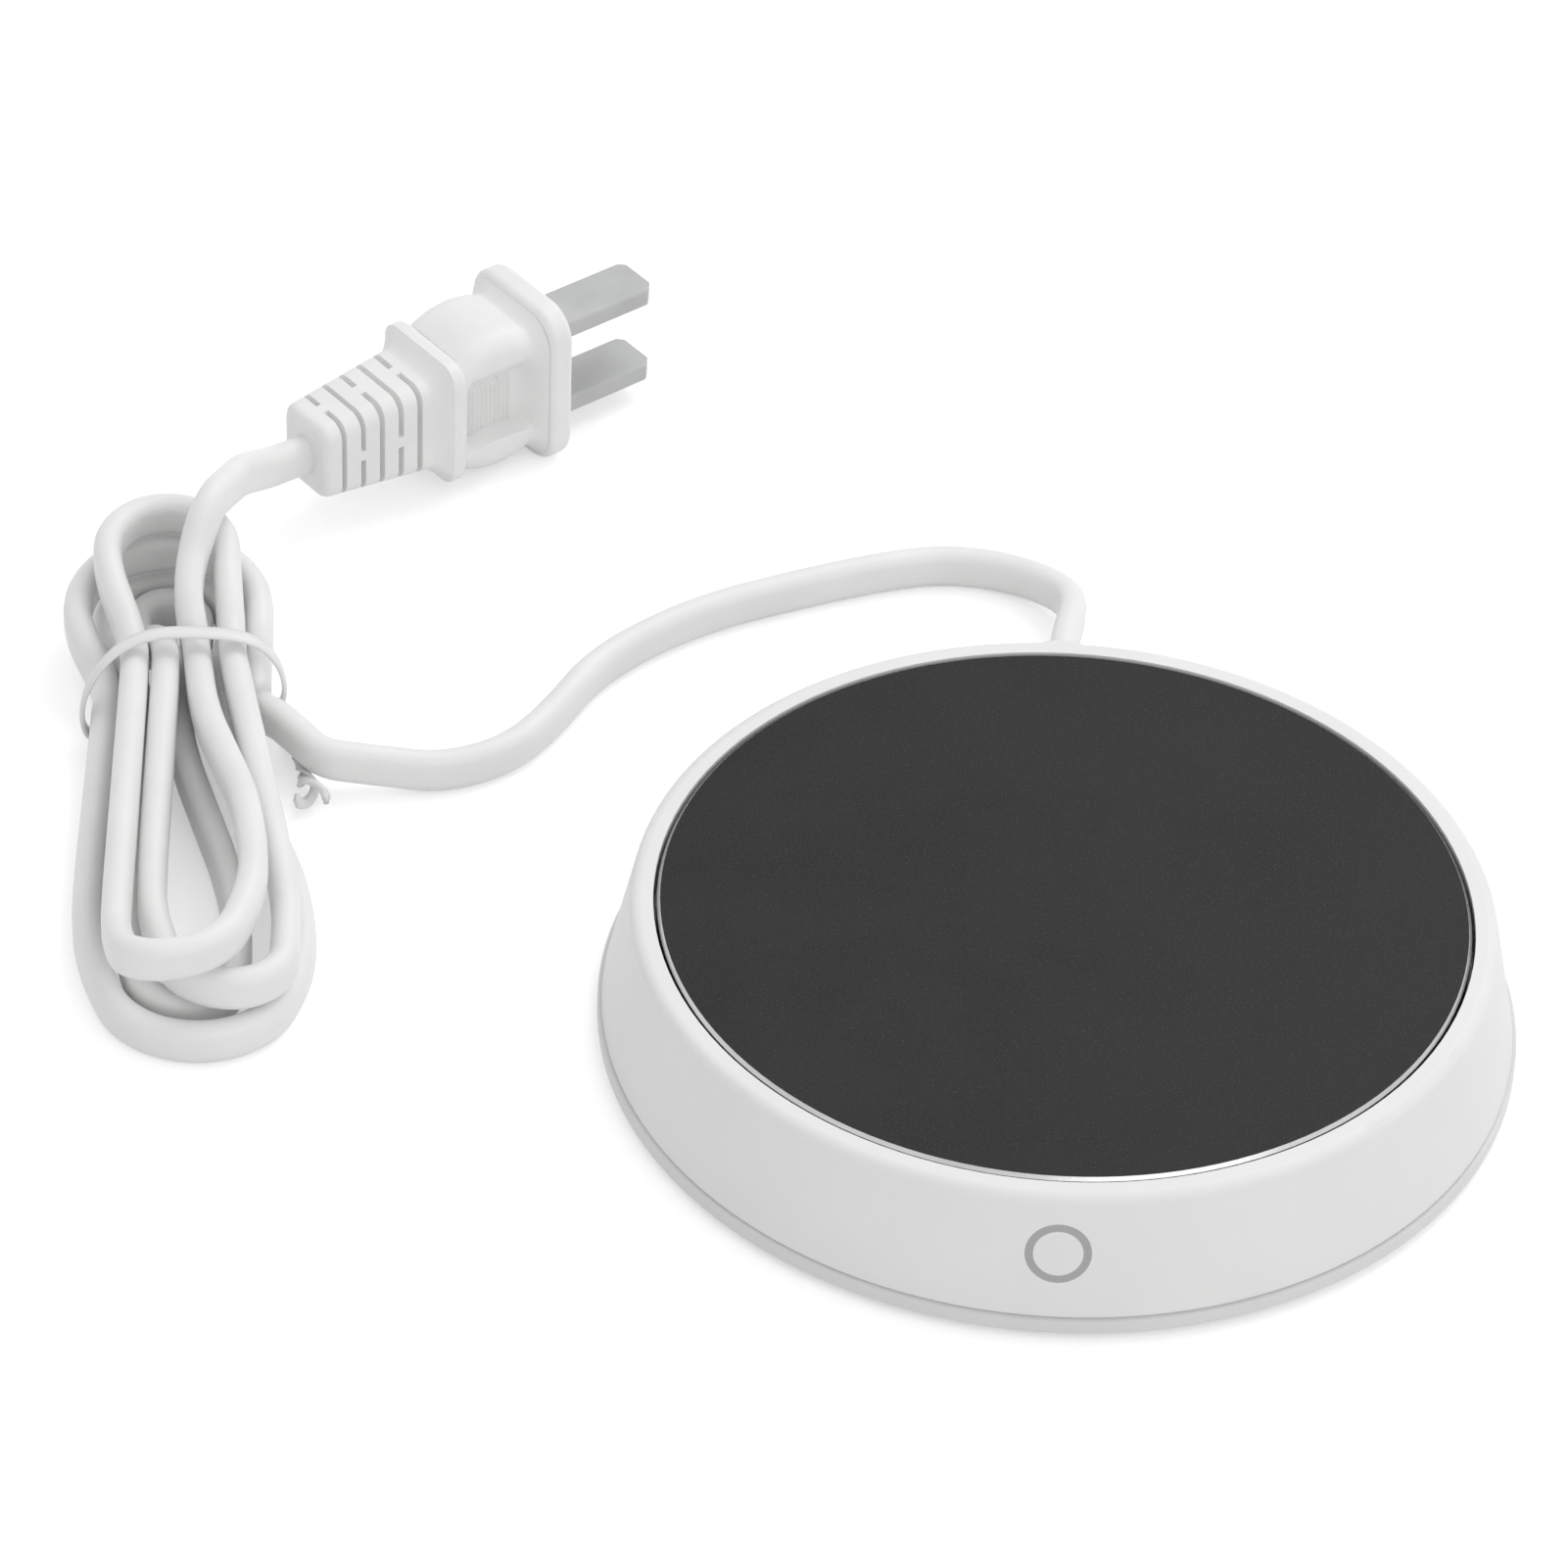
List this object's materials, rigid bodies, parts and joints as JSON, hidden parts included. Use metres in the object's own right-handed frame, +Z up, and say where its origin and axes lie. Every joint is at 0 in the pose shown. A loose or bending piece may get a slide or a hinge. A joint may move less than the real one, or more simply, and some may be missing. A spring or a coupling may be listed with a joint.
{
  "type": "electric mug warmer",
  "caption": "Low round electric mug warmer with a flat heated plate, a touch ring on its sloping front, and a flat mains cord in a tied hank with a moulded plug and pull-off blade sleeves.",
  "frame": {"origin": "bottom centre of the warmer, on the surface its feet stand on", "axes": "+Z up, the touch ring faces -Y, the cord leaves the case at +Y, +X to the right seen from the ring"},
  "size_m": [0.1893, 0.1926, 0.0259],
  "materials": {
    "case_white": "fine satin moulding",
    "cover_grey": "fine satin moulding",
    "ring_grey": "flush printed ring",
    "plate_coating": "dark baked coating with a bright bevelled edge",
    "silicone": "silicone",
    "heater_film": "mica film",
    "fibre_pad": "ceramic fibre pad",
    "steel": "zinc plated",
    "black_plastic": "moulded",
    "sensor_bead": "epoxy bead",
    "board_green": "circuit board",
    "led_lens": "clear lens",
    "contact_foam": "springy contact",
    "wire_white": "wire insulation",
    "cord_sheath": "soft white sheath",
    "nylon": "nylon bar",
    "tie_sleeve": "flat plastic-covered wire tie",
    "plug_rubber": "soft moulded plastic",
    "brass": "plated brass blade",
    "clear_sleeve": "frosted translucent sleeve",
    "foot_rubber": "soft foot"
  },
  "bodies": {
    "warmer": {"top_shell": "case_white", "bottom_cover": "cover_grey", "touch_ring": "ring_grey", "heating_plate": "plate_coating", "plate_gasket": "silicone", "heater_element": "heater_film", "insulation_pad": "fibre_pad", "heater_clamp": "steel", "thermal_cutoff": "black_plastic", "temperature_sensor": "sensor_bead", "circuit_board": "board_green", "power_relay": "black_plastic", "capacitor": "black_plastic", "touch_board": "board_green", "indicator_led": "led_lens", "touch_contact": "contact_foam", "heater_lead_left": "wire_white", "heater_lead_right": "wire_white", "strain_relief": "cord_sheath", "cord_clamp": "nylon", "mains_wire_left": "wire_white", "mains_wire_right": "wire_white", "cord_lead": "cord_sheath", "cord_hank": "cord_sheath", "cord_tail": "cord_sheath", "cord_tie": "tie_sleeve", "plug_body": "plug_rubber", "blade_upper": "brass", "blade_lower": "brass", "rubber_foot_1": "foot_rubber", "rubber_foot_2": "foot_rubber", "rubber_foot_3": "foot_rubber", "rubber_foot_4": "foot_rubber", "case_screw_1": "steel", "case_screw_2": "steel", "case_screw_3": "steel", "case_screw_4": "steel", "clamp_screw_1": "steel", "clamp_screw_2": "steel", "clamp_screw_3": "steel"},
    "upper_sleeve": {"sleeve_upper": "clear_sleeve"},
    "lower_sleeve": {"sleeve_lower": "clear_sleeve"}
  },
  "joints": [
    {"name": "upper_sleeve_pull", "type": "slide", "parent": "warmer", "child": "upper_sleeve", "axis": [0.7615, 0.6481, 0], "range_m": [0, 0.02]},
    {"name": "lower_sleeve_pull", "type": "slide", "parent": "warmer", "child": "lower_sleeve", "axis": [0.7615, 0.6481, 0], "range_m": [0, 0.02]}
  ]
}
